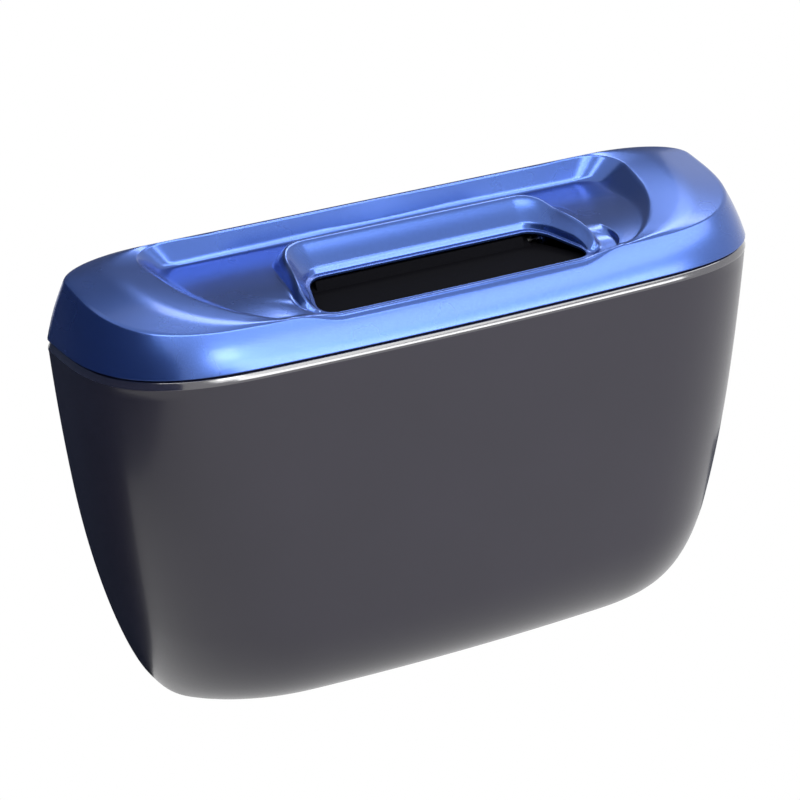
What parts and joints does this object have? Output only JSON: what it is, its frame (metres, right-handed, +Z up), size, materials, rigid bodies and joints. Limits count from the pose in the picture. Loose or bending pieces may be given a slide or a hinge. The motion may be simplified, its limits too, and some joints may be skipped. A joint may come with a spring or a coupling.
{
  "type": "car trash bin",
  "caption": "Flat-backed hanging trash bin for a car door or seat back, with a hinged cover, a hooded drop opening closed by a sprung flap, and rear hooks.",
  "frame": {"origin": "on the flat base, midway between the ends and midway between the seam outline's front and back", "axes": "+X to the right of the front, +Y to the flat back with the hooks, +Z up"},
  "size_m": [0.235, 0.0871, 0.1454],
  "materials": {
    "bin_shell": "moulded charcoal ABS, soft gloss",
    "cover_shell": "moulded ABS with a blue pearl finish",
    "inner_black": "moulded black plastic, fine matt grain",
    "steel": "drawn and zinc-plated steel"
  },
  "bodies": {
    "bin_body": {"bin": "bin_shell", "hinge_pin_left": "steel", "hinge_pin_right": "steel", "hook_left": "inner_black", "hook_right": "inner_black"},
    "cover_body": {"cover": "cover_shell", "flap_shaft": "steel", "flap_spring_left": "steel", "flap_spring_right": "steel"},
    "flap_body": {"flap": "inner_black"}
  },
  "joints": [
    {"name": "cover_hinge", "type": "hinge", "parent": "bin_body", "child": "cover_body", "pos_m": [0, 0.0369, 0.1235], "axis": [-1, 0, 0], "range_deg": [0, 100]},
    {"name": "flap_hinge", "type": "hinge", "parent": "cover_body", "child": "flap_body", "pos_m": [0, 0.0026, 0.1305], "axis": [1, 0, 0], "range_deg": [0, 70], "stiffness_Nm_per_rad": 0.01, "springref_deg": -28.65, "deforming": ["flap_spring_left", "flap_spring_right"]}
  ]
}
